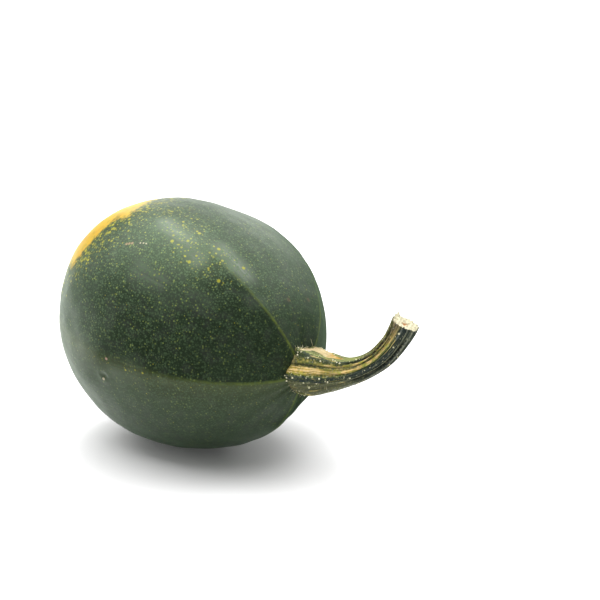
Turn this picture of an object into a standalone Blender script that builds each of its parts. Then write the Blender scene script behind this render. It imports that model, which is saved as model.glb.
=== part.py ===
# Round zucchini, picked, lying on its side with its stem on.
# Metres, +Z up. The origin is on the surface under the fruit's middle, in the
# small flat spot that it rests on. +X runs from the blossom end towards the stem.
# Two pieces: the fruit, grown as one body, and its woody stem.
from math import acos, atan2, cos, exp, hypot, pi, radians, sin

import bmesh
import bpy
from mathutils import Matrix, Vector

# Driving dimensions of the fruit
FRUIT_RADIUS = 0.0490
HALF_LENGTH = 0.0578
FULLNESS = 0.118
TILT = radians(7.4)
REST_FLAT_DEPTH = 0.0008
LOWEST_SKIN = 0.0502
BLOSSOM_DIMPLE_DEPTH = 0.0016
BLOSSOM_DIMPLE_RADIUS = 0.0085

# The five ridges, as turns about the fruit's axis: 0 is up, positive towards -Y
RIDGE_TURNS = [radians(turn) for turn in (23.7, 91.4, -46.0, -178.7, -123.6)]
RIDGE_WIDTH = 0.30
RIDGE_MIDDLE_HEIGHT = 0.038
RIDGE_STEM_HEIGHT = 0.050
LOPSIDE = 0.034
LOPSIDE_TURN = radians(42.5)
OVAL = -0.0078

# The stem: a foot spread on the fruit, a neck that bends up, and a cut end
CONTACT_GAP = 0.00033
STEM_FOOT_CENTRE = (0.0010, -0.0016)
STEM_HANDLE_NEAR_FOOT = Vector((0.0051, -0.0003, 0.0680))
STEM_HANDLE_NEAR_TIP = Vector((0.0022, -0.0107, 0.0876))
STEM_TIP = Vector((0.0284, -0.0189, 0.0911))
STEM_RADII = (0.0105, 0.0095, 0.0075, 0.0055, 0.0047, 0.0049, 0.0052)
STEM_RIB_WIDTH = 0.38
STEM_RIB_MEAN = 0.60
FOOT_RIB_DEPTH = 0.07
NECK_RIB_DEPTH = 0.12
FOOT_BLEND = 0.16
TURN_BLEND = 0.22
CUT_HOLLOW_DEPTH = 0.0012

# Facets
FRUIT_SEGMENTS, FRUIT_RINGS = 64, 36
STEM_SEGMENTS = 40
STEM_UNDERSIDE_RINGS, STEM_SIDE_RINGS, STEM_CUT_RINGS = 4, 22, 3

FRUIT_COLOUR = (0.040, 0.067, 0.035, 1.0)
STEM_COLOUR = (0.115, 0.130, 0.045, 1.0)

# The fruit's own frame: top, near and along. Along is its axis, stem end down.
MIDDLE = Vector((0.0, 0.0, LOWEST_SKIN - REST_FLAT_DEPTH))
TOP = Vector((sin(TILT), 0.0, cos(TILT)))
NEAR = Vector((0.0, -1.0, 0.0))
ALONG = Vector((cos(TILT), 0.0, -sin(TILT)))
OWN_TO_ROW = Matrix((TOP, NEAR, ALONG)).transposed()


def smooth_step(value, low, high):
    share = min(max((value - low) / (high - low), 0.0), 1.0)
    return share * share * (3.0 - 2.0 * share)


def turn_between(turn, other):
    """Smallest angle between two turns about the axis."""
    return abs((turn - other + pi) % (2.0 * pi) - pi)


def placed(own):
    """A point in the fruit's own frame, moved to its place in the part."""
    return MIDDLE + OWN_TO_ROW @ Vector(own)


def skin_radius(polar, turn):
    """Distance of the skin from the axis. polar is 0 at the blossom end."""
    lean = cos(polar)
    plain = FRUIT_RADIUS * sin(polar) * (1.0 + FULLNESS * lean)
    ridges = sum(exp(-(turn_between(turn, ridge) / RIDGE_WIDTH) ** 1.3) for ridge in RIDGE_TURNS)
    height = RIDGE_MIDDLE_HEIGHT * smooth_step(polar, 0.9, 2.2)
    height += RIDGE_STEM_HEIGHT * smooth_step(polar, 2.2, 2.9)
    uneven = OVAL * cos(2.0 * turn) + LOPSIDE * cos(3.0 * (turn - LOPSIDE_TURN))
    return plain * (1.0 + uneven * sin(polar) ** 2 + height * ridges)


def skin_point(polar, turn):
    """Point of the skin in the fruit's own frame, with the dimple at the blossom end."""
    radius = skin_radius(polar, turn)
    along = -HALF_LENGTH * cos(polar)
    if polar < pi / 2.0:
        along += BLOSSOM_DIMPLE_DEPTH * exp(-(radius / BLOSSOM_DIMPLE_RADIUS) ** 2)
    return Vector((radius * cos(turn), radius * sin(turn), along))


def skin_height(across, near):
    """How far along the axis the skin lies at a place beside the stem's end of it."""
    distance, turn = hypot(across, near), atan2(near, across)
    low, high = 2.0, pi
    for _ in range(40):
        polar = (low + high) / 2.0
        if skin_radius(polar, turn) > distance:
            low = polar
        else:
            high = polar
    return -HALF_LENGTH * cos(low)


def stem_centre(share):
    """Centre line of the stem, one cubic curve from foot to tip."""
    rest = 1.0 - share
    foot = Vector((*STEM_FOOT_CENTRE, HALF_LENGTH))
    return (foot * rest ** 3 + STEM_HANDLE_NEAR_FOOT * 3.0 * rest ** 2 * share
            + STEM_HANDLE_NEAR_TIP * 3.0 * rest * share ** 2 + STEM_TIP * share ** 3)


def stem_radius(share):
    """Mean radius of the stem, a smooth curve through evenly spaced stations."""
    last = len(STEM_RADII) - 1
    station = min(int(share * last), last - 1)
    step = share * last - station
    before, here, there, after = (STEM_RADII[min(max(station + offset, 0), last)] for offset in (-1, 0, 1, 2))
    slope_here, slope_there = (there - before) / 2.0, (after - here) / 2.0
    rise = there - here
    return here + step * (slope_here + step * (3.0 * rise - 2.0 * slope_here - slope_there
                                               + step * (slope_here + slope_there - 2.0 * rise)))


def stem_frames(count):
    """Centre and two cross directions at each station, turning without twist."""
    frames = []
    across = Vector((1.0, 0.0, 0.0))
    for index in range(count + 1):
        share = index / count
        step = 0.001
        ahead = stem_centre(min(share + step, 1.0)) - stem_centre(max(share - step, 0.0))
        bend = smooth_step(share, 0.0, TURN_BLEND)
        direction = (Vector((0.0, 0.0, 1.0)).lerp(ahead.normalized(), bend)).normalized()
        across = (across - direction * across.dot(direction)).normalized()
        frames.append((stem_centre(share), across.copy(), direction.cross(across)))
    return frames


def stem_section(share, turn):
    """Radius of the ribbed section: the ribs carry on the fruit's ridges."""
    ribs = sum(exp(-(turn_between(turn, ridge) / STEM_RIB_WIDTH) ** 2) for ridge in RIDGE_TURNS)
    depth = FOOT_RIB_DEPTH + (NECK_RIB_DEPTH - FOOT_RIB_DEPTH) * smooth_step(share, 0.0, 0.45)
    return stem_radius(share) * (1.0 + depth * (ribs - STEM_RIB_MEAN))


def stem_point(ring, turn, frames):
    """Point of the stem: its underside on the skin, then its side, then its cut end."""
    if ring <= STEM_UNDERSIDE_RINGS:
        radius = stem_section(0.0, turn) * ring / STEM_UNDERSIDE_RINGS
        across = STEM_FOOT_CENTRE[0] + radius * cos(turn)
        near = STEM_FOOT_CENTRE[1] + radius * sin(turn)
        return Vector((across, near, skin_height(across, near) + CONTACT_GAP))
    station = min(ring - STEM_UNDERSIDE_RINGS, STEM_SIDE_RINGS)
    share = station / STEM_SIDE_RINGS
    inward = 1.0 - (ring - STEM_UNDERSIDE_RINGS - station) / (STEM_CUT_RINGS + 1)
    centre, across, near = frames[station]
    radius = stem_section(share, turn) * inward
    point = centre + (across * cos(turn) + near * sin(turn)) * radius
    if inward < 1.0:
        point += across.cross(near) * CUT_HOLLOW_DEPTH * (inward ** 2 - 1.0)
    lift = skin_height(point.x, point.y) + CONTACT_GAP - HALF_LENGTH if share < FOOT_BLEND else 0.0
    point.z += lift * (1.0 - smooth_step(share, 0.0, FOOT_BLEND))
    return point


def shaped_sphere(name, segments, rings, point, collection, material):
    """A sphere primitive whose points are moved to their places by a formula."""
    shape = bmesh.new()
    bmesh.ops.create_uvsphere(shape, u_segments=segments, v_segments=rings, radius=1.0)
    for vertex in shape.verts:
        polar = acos(min(max(-vertex.co.z, -1.0), 1.0))
        turn = atan2(vertex.co.y, vertex.co.x) if hypot(vertex.co.x, vertex.co.y) > 1e-5 else 0.0
        vertex.co = placed(point(polar, turn))
    bmesh.ops.triangulate(shape, faces=shape.faces)
    mesh = bpy.data.meshes.new(name)
    shape.to_mesh(mesh)
    shape.free()
    mesh.shade_smooth()
    mesh.materials.append(material)
    piece = bpy.data.objects.new(name, mesh)
    collection.objects.link(piece)
    return piece


def make_fruit(collection):
    material = plain_material("fruit_skin", FRUIT_COLOUR, roughness=0.42)
    return shaped_sphere("fruit", FRUIT_SEGMENTS, FRUIT_RINGS, skin_point, collection, material)


def make_stem(collection):
    rings = STEM_UNDERSIDE_RINGS + STEM_SIDE_RINGS + STEM_CUT_RINGS + 1
    frames = stem_frames(STEM_SIDE_RINGS)
    material = plain_material("stem_rind", STEM_COLOUR, roughness=0.75)

    def point(polar, turn):
        return stem_point(round(polar / pi * rings), turn, frames)

    return shaped_sphere("stem", STEM_SEGMENTS, rings, point, collection, material)


def cut_rest_flat(fruit, cutters):
    """The small flat spot that the fruit lies on, in the plane z = 0."""
    depth = 0.02
    bpy.ops.mesh.primitive_cube_add(size=1.0, location=(0.0, 0.0, -depth / 2.0))
    block = bpy.context.object
    block.name = "ground_block"
    block.scale = (0.08, 0.08, depth)
    block.display_type = "WIRE"
    block.hide_render = True
    for owner in list(block.users_collection):
        owner.objects.unlink(block)
    cutters.objects.link(block)
    cut = fruit.modifiers.new("rest_flat", "BOOLEAN")
    cut.operation = "DIFFERENCE"
    cut.object = block


def plain_material(name, colour, roughness):
    material = bpy.data.materials.new(name)
    material.use_nodes = True
    shader = material.node_tree.nodes["Principled BSDF"]
    shader.inputs["Base Color"].default_value = colour
    shader.inputs["Roughness"].default_value = roughness
    shader.inputs["Metallic"].default_value = 0.0
    return material


def new_collection(name):
    collection = bpy.data.collections.new(name)
    bpy.context.scene.collection.children.link(collection)
    return collection


def main():
    for leftover in list(bpy.data.objects):
        bpy.data.objects.remove(leftover, do_unlink=True)
    parts = new_collection("round_zucchini")
    cutters = new_collection("cutters")
    fruit = make_fruit(parts)
    make_stem(parts)
    cut_rest_flat(fruit, cutters)


main()
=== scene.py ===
# Looks of the round zucchini: its skin, its stem, the light, the floor and the camera.
# Metres, +Z up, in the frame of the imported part.
from math import cos, pi, radians, sin
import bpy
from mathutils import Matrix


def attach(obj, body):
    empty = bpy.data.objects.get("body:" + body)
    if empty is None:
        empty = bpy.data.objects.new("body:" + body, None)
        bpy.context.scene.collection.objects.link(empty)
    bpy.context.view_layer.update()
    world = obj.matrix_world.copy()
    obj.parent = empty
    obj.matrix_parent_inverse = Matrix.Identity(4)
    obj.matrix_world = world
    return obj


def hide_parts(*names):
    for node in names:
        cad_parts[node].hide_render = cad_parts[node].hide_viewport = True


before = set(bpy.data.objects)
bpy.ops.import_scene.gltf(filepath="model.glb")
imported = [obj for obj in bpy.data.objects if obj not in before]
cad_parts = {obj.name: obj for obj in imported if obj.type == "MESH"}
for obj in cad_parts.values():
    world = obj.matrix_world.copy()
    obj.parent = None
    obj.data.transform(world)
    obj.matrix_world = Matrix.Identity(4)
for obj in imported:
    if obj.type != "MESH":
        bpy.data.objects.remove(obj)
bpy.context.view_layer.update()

from types import SimpleNamespace

import bmesh
import bpy
import numpy as np
from mathutils import Matrix, Vector

# Driving dimensions of the fruit, the same as the part's
FRUIT_RADIUS = 0.0490
HALF_LENGTH = 0.0578
FULLNESS = 0.118
TILT = radians(7.4)
MIDDLE_HEIGHT = 0.0494
RIDGE_TURNS = [radians(turn) for turn in (23.7, 91.4, -46.0, -178.7, -123.6)]
RIDGE_WIDTH = 0.30
RIDGE_MIDDLE_HEIGHT = 0.038
RIDGE_STEM_HEIGHT = 0.050
LOPSIDE = 0.034
LOPSIDE_TURN = radians(42.5)
OVAL = -0.0078
BLOSSOM_DIMPLE_DEPTH = 0.0016
BLOSSOM_DIMPLE_RADIUS = 0.0085

# Driving dimensions of the stem, the same as the part's
STEM_FOOT_CENTRE = (0.0010, -0.0016)
STEM_HANDLE_NEAR_FOOT = (0.0051, -0.0003, 0.0680)
STEM_HANDLE_NEAR_TIP = (0.0022, -0.0107, 0.0876)
STEM_TIP = (0.0284, -0.0189, 0.0911)
STEM_RADII = (0.0105, 0.0095, 0.0075, 0.0055, 0.0047, 0.0049, 0.0052)
STEM_RIB_MEAN = 0.60
FOOT_RIB_DEPTH = 0.07
NECK_RIB_DEPTH = 0.12
FOOT_BLEND = 0.16
TURN_BLEND = 0.22
FOOT_DIP = 0.17

# Finer than the part's solids, and the gap between the two pieces
FRUIT_SEGMENTS, FRUIT_RINGS = 400, 240
STEM_SEGMENTS = 240
STEM_UNDERSIDE_RINGS, STEM_SIDE_RINGS, STEM_CUT_RINGS = 6, 260, 30
VISUAL_GAP = 0.00005

# The fruit's own frame: top, near and along, its axis with the stem end down
TOP = np.array((sin(TILT), 0.0, cos(TILT)))
NEAR = np.array((0.0, -1.0, 0.0))
ALONG = np.array((cos(TILT), 0.0, -sin(TILT)))
MIDDLE = np.array((0.0, 0.0, MIDDLE_HEIGHT))

# Places on the skin: polar angle from the blossom end and turn, in degrees.
# The ground spot is made of circles, each with its radius in metres too.
GROUND_SPOTS = [(36.0, 17.0, 0.0245), (58.0, 21.0, 0.0095), (54.0, 33.0, 0.0085), (46.0, 43.0, 0.0122)]
YELLOW_ARC = [(88.0, 12.0), (98.0, 20.0), (106.0, 27.0), (114.0, 26.0)]
SPECKLED_MIDDLE = (94.0, 44.0)
BIG_SPECKS = [(102.3, 18.0), (98.0, 29.9), (109.4, 33.8), (113.0, 18.4), (124.7, 15.5), (122.9, 32.4)]
BLACK_DOTS = [(109.8, 44.6), (82.3, 38.5), (130.8, 136.4)]
BROWN_SCARS = [(82.0, 41.0), (83.2, 40.4), (84.4, 39.7)]
PALE_SCARS = [(87.6, 38.0), (88.8, 37.4), (90.0, 37.0)]
RED_MARKS = [(143.6, -4.3), (142.9, -30.6)]
PINK_SCAR = (92.0, 92.5)
# A pale spot at the dent's lower lip: partly a scar, partly a painted highlight
DENT_SCAR_AND_HIGHLIGHT = (88.0, 105.8)
DENT = (88.9, 103.5)

# Smears of wax, partly real wax and partly a painted highlight, along a line: the places of its ends, its
# half width in metres and its strength
WAX_HIGHLIGHT_SMEARS = [(((88.8, 23.0), (111.2, 30.2)), 0.0062, 1.0),
              (((114.0, 16.5), (127.0, 17.5)), 0.0065, 1.0),
              (((93.7, 48.6), (104.4, 50.0)), 0.0080, 0.40),
              (((110.1, 55.1), (123.3, 46.8)), 0.0070, 0.20),
              (((136.0, 27.5), (139.0, 26.0)), 0.0050, 0.25),
              (((84.1, 103.7), (103.7, 94.0)), 0.0100, 0.32)]

# Relief of the skin: sharp crests on the ridges, and folds near the stem as turn, depth and width
CREASE_HEIGHT = 0.00070
CREASE_WIDTH = 0.0060
SHELF_HEIGHT = 0.00110
SHELF_WIDTH = 0.0130
FOLD_DEPTH = 0.00080
FOLDS = [(106, 0.25, 8), (128, 0.55, 10), (153, 0.60, 9), (194, 0.7, 6),
         (58, 0.4, 6), (-8, 0.5, 7), (-84, 0.8, 6), (-150, 0.7, 5)]

# Small pits: place, radius and depth in metres
PITS = [(DENT, 0.0016, 0.00055), (PINK_SCAR, 0.0006, 0.00025), (BROWN_SCARS[0], 0.0008, 0.00030)]

# The blossom scar lies where the polar angle is below this, and has its rim this far from the axis
BLOSSOM_SIDE = 1.0
BLOSSOM_RIM = 0.0058

# Widths of the bands of colour below the ridge that faces the camera, in metres
OLIVE_BAND_WIDTH = 0.0070
YELLOW_BAND_WIDTH = 0.004

# The camera, from the photograph's viewing angle
CAMERA_TURN = radians(43.9)
CAMERA_ELEVATION = radians(17.0)
CAMERA_DISTANCE = 0.85
CAMERA_RIGHT, CAMERA_UP = 0.04139, 0.00941
LENS, SENSOR = 127.5, 36.0

# The white floor glows a little, as a lit table does, so that the shadows stay pale
FLOOR_ALBEDO, FLOOR_GLOW = 0.815, 0.045
FLOOR_REACH, FLOOR_LEVEL = 8.0, -0.0002
WORLD_LIGHT = 0.22
WHITE = (1.0, 1.0, 1.0, 1.0)

# Soft lights: place to the right of the fruit and ahead of it as the camera sees it, height,
# width, depth and radiance
SOFTBOXES = {"top_softbox": (-0.4, 0.35, 2.6, 3.6, 3.6, 4.1),
             "back_softbox": (0.55, 2.55, 0.7, 3.0, 1.4, 1.6),
             "right_softbox": (1.23, 0.86, 1.68, 2.8, 2.0, 1.25),
             "left_softbox": (-1.85, 0.50, 1.08, 2.6, 1.6, 1.05),
             "front_left_softbox": (-1.12, -0.94, 1.41, 1.2, 0.8, 0.45),
             "glare_spot": (-0.21, 0.66, 1.91, 0.42, 0.42, 12.0),
             "ridge_spot": (1.16, 0.42, 1.62, 0.40, 0.40, 3.5)}

# Dark screens: the turns where they start and end, 0 straight ahead and 90 to the right,
# then the radius at the foot, the radius at the top and the height
DARK_SCREENS = {"dark_screen_right": (-20.0, 136.0, 0.042, 0.21, 0.115),
                "dark_screen_front": (75.0, 278.0, 0.078, 0.155, 0.080)}
SCREEN_POSTS, SCREEN_TAPER = 41, 55.0
SCREEN_COLOUR = (0.03, 0.04, 0.02, 1.0)


def smooth_step(value, low, high):
    """0 below low and 1 above high, with eased ends."""
    share = np.clip((value - low) / (high - low), 0.0, 1.0)
    return share * share * (3.0 - 2.0 * share)


def turn_between(turn, other):
    """Smallest angle between two turns about the axis."""
    return np.abs((turn - other + pi) % (2.0 * pi) - pi)


def near_place(value, centre, width):
    """1 at the centre, falling softly to a tenth one and a half widths away."""
    return np.exp(-((value - centre) / width) ** 2)


def to_row(own):
    """Points of the fruit's own frame (top, near, along) in the part's frame."""
    return MIDDLE + own[..., 0:1] * TOP + own[..., 1:2] * NEAR + own[..., 2:3] * ALONG


def ripple(points, wavelength, seed, waves=14):
    """Smooth seeded unevenness between about -1 and 1, with that wavelength in metres."""
    draw = np.random.default_rng(seed)
    total = np.zeros(points.shape[:-1])
    for _ in range(waves):
        direction = draw.normal(size=3)
        direction *= 2.0 * pi / wavelength / np.linalg.norm(direction) * draw.uniform(0.7, 1.4)
        total += np.sin(points @ direction + draw.uniform(0.0, 2.0 * pi))
    return total / np.sqrt(waves)


def fibres(turn, share, seed, low=14, high=70, waves=16, wander=1.2):
    """Seeded lengthwise streaks round a stem, between about -1 and 1."""
    draw = np.random.default_rng(seed)
    total = np.zeros(np.broadcast(turn, share).shape)
    for _ in range(waves):
        count = draw.integers(low, high)
        drift = wander * np.sin(share * draw.uniform(3.0, 14.0) + draw.uniform(0.0, 2.0 * pi))
        total += np.cos(count * turn + drift + draw.uniform(0.0, 2.0 * pi))
    return total / np.sqrt(waves)


# The fruit

def skin_radius(polar, turn):
    plain = FRUIT_RADIUS * np.sin(polar) * (1.0 + FULLNESS * np.cos(polar))
    ridges = sum(np.exp(-(turn_between(turn, ridge) / RIDGE_WIDTH) ** 1.3) for ridge in RIDGE_TURNS)
    height = RIDGE_MIDDLE_HEIGHT * smooth_step(polar, 0.9, 2.2)
    height = height + RIDGE_STEM_HEIGHT * smooth_step(polar, 2.2, 2.9)
    uneven = OVAL * np.cos(2.0 * turn) + LOPSIDE * np.cos(3.0 * (turn - LOPSIDE_TURN))
    return plain * (1.0 + uneven * np.sin(polar) ** 2 + height * ridges)


def skin_own(polar, turn):
    radius = skin_radius(polar, turn)
    along = -HALF_LENGTH * np.cos(polar)
    dimple = BLOSSOM_DIMPLE_DEPTH * np.exp(-(radius / BLOSSOM_DIMPLE_RADIUS) ** 2)
    along = along + np.where(polar < pi / 2.0, dimple, 0.0)
    return np.stack([radius * np.cos(turn), radius * np.sin(turn), along], axis=-1)


def skin_place(place):
    """A place on the plain skin, given as polar angle and turn in degrees."""
    polar, turn = radians(place[0]), radians(place[1])
    return to_row(skin_own(np.array(polar), np.array(turn)))


def distance_from(points, place):
    return np.linalg.norm(points - skin_place(place), axis=-1)


def sphere_mesh(name, segments, rings):
    """A sphere primitive, with each point's ring, counted from its lower pole, and its turn."""
    shape = bmesh.new()
    bmesh.ops.create_uvsphere(shape, u_segments=segments, v_segments=rings, radius=1.0)
    mesh = bpy.data.meshes.new(name)
    shape.to_mesh(mesh)
    shape.free()
    flat = np.zeros(len(mesh.vertices) * 3, np.float32)
    mesh.vertices.foreach_get("co", flat)
    points = flat.reshape(-1, 3).astype(float)
    ring = np.round(np.arccos(np.clip(-points[:, 2], -1.0, 1.0)) / pi * rings)
    segment = np.round(np.arctan2(points[:, 1], points[:, 0]) / (2.0 * pi) * segments)
    segment = np.where((ring == 0) | (ring == rings), 0, segment)
    return mesh, ring, segment / segments * 2.0 * pi


def add_object(name, data):
    made = bpy.data.objects.new(name, data)
    bpy.context.scene.collection.objects.link(made)
    return made


def place_points(mesh, points):
    mesh.vertices.foreach_set("co", points.astype(np.float32).ravel())
    mesh.update()


def show_mesh(mesh, material, node=None):
    """Makes the mesh a shown piece, in place of a node where one is named."""
    mesh.shade_smooth()
    mesh.materials.append(material)
    piece = add_object(mesh.name, mesh)
    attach(piece, "root")
    if node:
        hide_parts(node)


def keep(mesh, name, values, kind="FLOAT", field="value"):
    """Stores a number, vector or colour for each point of the mesh, for its material."""
    mesh.attributes.new(name, kind, "POINT").data.foreach_set(field, values.astype(np.float32).ravel())


def keep_vector(mesh, name, values):
    keep(mesh, name, values, "FLOAT_VECTOR", "vector")


def keep_colour(mesh, name, values):
    opaque = np.concatenate([values, np.ones((len(values), 1))], axis=1)
    keep(mesh, name, opaque, "FLOAT_COLOR", "color")


def ridge_circle():
    """The ridges' turns in order, with the first one again after a full turn."""
    ridges = sorted(RIDGE_TURNS)
    return ridges + [ridges[0] + 2.0 * pi]


def ridge_aligned(turn):
    """Moves evenly spaced turns so that each ridge has a line of points on its crest."""
    ridges = ridge_circle()
    return np.interp(turn, np.linspace(-pi, pi, len(ridges)), ridges)


def between_ridges(turn):
    """1 half-way between neighbouring ridges, 0 on them."""
    ridges = ridge_circle()
    turn = (turn - ridges[0]) % (2.0 * pi) + ridges[0]
    share = np.interp(turn, ridges, range(len(ridges))) % 1.0
    return 4.0 * share * (1.0 - share)


def ridge_softness(polar):
    """How far a ridge's crest is rounded off, in metres: more towards the blossom end."""
    return 0.0003 + 0.0040 * (1.0 - smooth_step(polar, radians(85), radians(138)))


def skin_relief(polar, turn, own):
    """Height of the fine unevenness of the skin above its plain form."""
    height = 0.00022 * ripple(own, 0.030, seed=3)
    height += 0.00007 * ripple(own, 0.011, seed=4)
    near_stem = smooth_step(polar, radians(128), radians(166))
    for fold, depth, width in FOLDS:
        apart = turn_between(turn, radians(fold)) / radians(width)
        height -= FOLD_DEPTH * depth * near_stem * np.exp(-apart ** 2)
    reach = np.hypot(own[..., 0], own[..., 1])
    soft = ridge_softness(polar)
    crease = sum(np.exp(-(np.hypot(turn_between(turn, ridge) * reach, soft) - soft) / CREASE_WIDTH)
                 for ridge in RIDGE_TURNS)
    strength = 0.5 * smooth_step(polar, radians(45), radians(90))
    strength = strength + 0.5 * smooth_step(polar, radians(95), radians(130))
    height += CREASE_HEIGHT * strength * (crease - 0.4)
    below = (turn - RIDGE_TURNS[1]) * reach
    slope = np.where(below < 0.0, SHELF_WIDTH, 0.4 * SHELF_WIDTH)
    beside = np.exp(-(np.hypot(below, soft) - soft) / slope)
    height += SHELF_HEIGHT * strength * beside * (np.abs(turn - RIDGE_TURNS[1]) < 1.5)
    return height


def pit(points, place, radius, depth):
    """Height of a small round pit at a place on the skin, with a slight rim."""
    apart = distance_from(points, place) / radius
    return -depth * np.exp(-apart ** 2) + 0.25 * depth * np.exp(-((apart - 1.7) / 0.6) ** 2)


def smear(points, ends, half):
    """1 along the line between two places on the skin, falling softly to 0 at the half width beside it."""
    start, end = skin_place(ends[0]), skin_place(ends[1])
    along = np.clip((points - start) @ (end - start) / np.sum((end - start) ** 2), 0.0, 1.0)
    apart = np.linalg.norm(points - start - along[:, None] * (end - start), axis=1)
    return 1.0 - smooth_step(apart, 0.0, half)


def blossom_relief(reach, turn):
    """Height of the corky scar at the blossom end: a rim, a few cracks and a nub."""
    rim = 0.00070 * near_place(reach, BLOSSOM_RIM, 0.0011)
    cracks = 0.00025 * np.cos(11.0 * turn + 2.0 * np.sin(3.0 * turn)) * near_place(reach, 0.0034, 0.0017)
    nub = 0.00110 * np.exp(-(reach / 0.0011) ** 2)
    return rim + cracks + nub


def out_of_skin(polar, turn):
    step = 1e-3
    inner = np.clip(polar, step, pi - step)
    slope = skin_own(inner + step, turn) - skin_own(inner - step, turn)
    sideways = skin_own(inner, turn + step) - skin_own(inner, turn - step)
    outward = np.cross(sideways, slope)
    outward /= np.linalg.norm(outward, axis=-1, keepdims=True)
    return outward * np.sign(np.sum(outward * skin_own(polar, turn), axis=-1, keepdims=True))


def mark_place(place):
    """A place on the skin as shown, with its relief, given as polar angle and turn in degrees."""
    polar, turn = np.radians(place[0]), np.radians(place[1])
    own = skin_own(polar, turn)
    return to_row(own + skin_relief(polar, turn, own) * out_of_skin(polar, turn))


def shown_relief(polar, turn, own, reach):
    """Height of the shown skin above its plain form, scar and pits included."""
    height = skin_relief(polar, turn, own)
    height += np.where(polar < BLOSSOM_SIDE, blossom_relief(reach, turn), 0.0)
    for place, radius, depth in PITS:
        height += pit(to_row(own), place, radius, depth)
    return height


def keep_ridge_values(mesh, polar, turn, reach, below):
    """Stores each point's way round and along, the ridge lines and the olive band."""
    keep_vector(mesh, "meridian", np.stack([np.cos(turn), np.sin(turn), polar], axis=1))
    nearest = np.min([turn_between(turn, ridge) for ridge in RIDGE_TURNS], axis=0)
    keep(mesh, "ridge_reach", nearest * reach)
    keep(mesh, "stemward", smooth_step(polar, radians(95), radians(165)))
    edge = 0.0004 + 0.8 * ridge_softness(polar)
    fading = np.exp(-np.maximum(below, 0.0) / OLIVE_BAND_WIDTH)
    keep(mesh, "olive_band", smooth_step(below, -edge, edge) * fading)


def skin_yellowing(points, polar, ground, below):
    arc = np.min([distance_from(points, place) for place in YELLOW_ARC], axis=0)
    band = smooth_step(below, 0.0, 0.001) * np.exp(-np.maximum(below, 0.0) / YELLOW_BAND_WIDTH)
    band = band * near_place(polar, 1.75, 0.45)
    on_arc = 1.0 - smooth_step(arc, 0.002, 0.012)
    return 1.0 - smooth_step(ground, 0.0, 0.022) + 0.45 * on_arc + 0.6 * band


def keep_speck_values(mesh, points, polar, own, below):
    """Stores the way to the ground spot, and how yellow, strong and large the specks are."""
    ground = np.min([distance_from(points, spot) - spot[2] for spot in GROUND_SPOTS], axis=0)
    keep(mesh, "ground_reach", ground + 0.0012 * ripple(own, 0.010, seed=8))
    yellowing = skin_yellowing(points, polar, ground, below)
    keep(mesh, "yellowing", np.minimum(yellowing, 1.0))
    shown_side = 1.0 - smooth_step(distance_from(points, SPECKLED_MIDDLE), 0.020, 0.052)
    shown_side = shown_side * (1.0 - 0.9 * smooth_step(below, -0.008, 0.002))
    upward = smooth_step(own[:, 0], 0.018, 0.044)
    keep(mesh, "speckled", 0.62 + 0.34 * shown_side + 0.45 * upward + 0.3 * yellowing)
    keep(mesh, "speck_growth", 0.50 * np.minimum(yellowing, 1.0) + 0.05 * upward)


def make_fruit(material):
    mesh, ring, turn = sphere_mesh("zucchini_fruit", FRUIT_SEGMENTS, FRUIT_RINGS)
    polar = ring / FRUIT_RINGS * pi
    turn = ridge_aligned(turn)
    own = skin_own(polar, turn)
    reach = np.hypot(own[:, 0], own[:, 1])
    height = shown_relief(polar, turn, own, reach)
    points = to_row(own) + height[:, None] * (to_row(out_of_skin(polar, turn)) - MIDDLE)
    points[:, 2] = np.maximum(points[:, 2], 0.0)

    below = (turn - RIDGE_TURNS[1]) * reach
    keep_ridge_values(mesh, polar, turn, reach, below)
    keep_speck_values(mesh, points, polar, own, below)
    # Where the pale smears lie: partly real wax, partly a painted highlight
    wax_highlight_smears = [strength * smear(points, ends, half) for ends, half, strength in WAX_HIGHLIGHT_SMEARS]
    keep(mesh, "wax_and_highlight", np.max(wax_highlight_smears, axis=0))
    uneven_reach = reach + 0.0008 * ripple(own, 0.0045, seed=9)
    keep(mesh, "blossom_reach", np.where(polar < BLOSSOM_SIDE, uneven_reach, 1.0))
    place_points(mesh, points)
    show_mesh(mesh, material, "fruit")


# The stem

def stem_centre(share):
    """Centre line of the stem, one cubic curve from foot to tip."""
    share = np.asarray(share)[..., None]
    rest = 1.0 - share
    foot = np.array((*STEM_FOOT_CENTRE, HALF_LENGTH))
    return (foot * rest ** 3 + np.array(STEM_HANDLE_NEAR_FOOT) * 3.0 * rest ** 2 * share
            + np.array(STEM_HANDLE_NEAR_TIP) * 3.0 * rest * share ** 2 + np.array(STEM_TIP) * share ** 3)


def stem_radius(share):
    radii = np.array(STEM_RADII)
    last = len(radii) - 1
    station = np.minimum((share * last).astype(int), last - 1)
    step = share * last - station
    before, here, there, after = (radii[np.clip(station + offset, 0, last)] for offset in (-1, 0, 1, 2))
    slope_here, slope_there = (there - before) / 2.0, (after - here) / 2.0
    rise = there - here
    return here + step * (slope_here + step * (3.0 * rise - 2.0 * slope_here - slope_there
                                               + step * (slope_here + slope_there - 2.0 * rise)))


def stem_frames(count):
    """Centre, two cross directions and the direction at each station, turning without twist."""
    frames = np.zeros((count + 1, 4, 3))
    across = np.array((1.0, 0.0, 0.0))
    for index in range(count + 1):
        share = index / count
        step = 0.001
        ahead = stem_centre(min(share + step, 1.0)) - stem_centre(max(share - step, 0.0))
        bend = smooth_step(share, 0.0, TURN_BLEND)
        direction = (1.0 - bend) * np.array((0.0, 0.0, 1.0)) + bend * ahead / np.linalg.norm(ahead)
        direction /= np.linalg.norm(direction)
        across = across - direction * (across @ direction)
        across /= np.linalg.norm(across)
        frames[index] = stem_centre(share), across, np.cross(direction, across), direction
    return frames


STEM_FRAMES = stem_frames(STEM_SIDE_RINGS)


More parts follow.
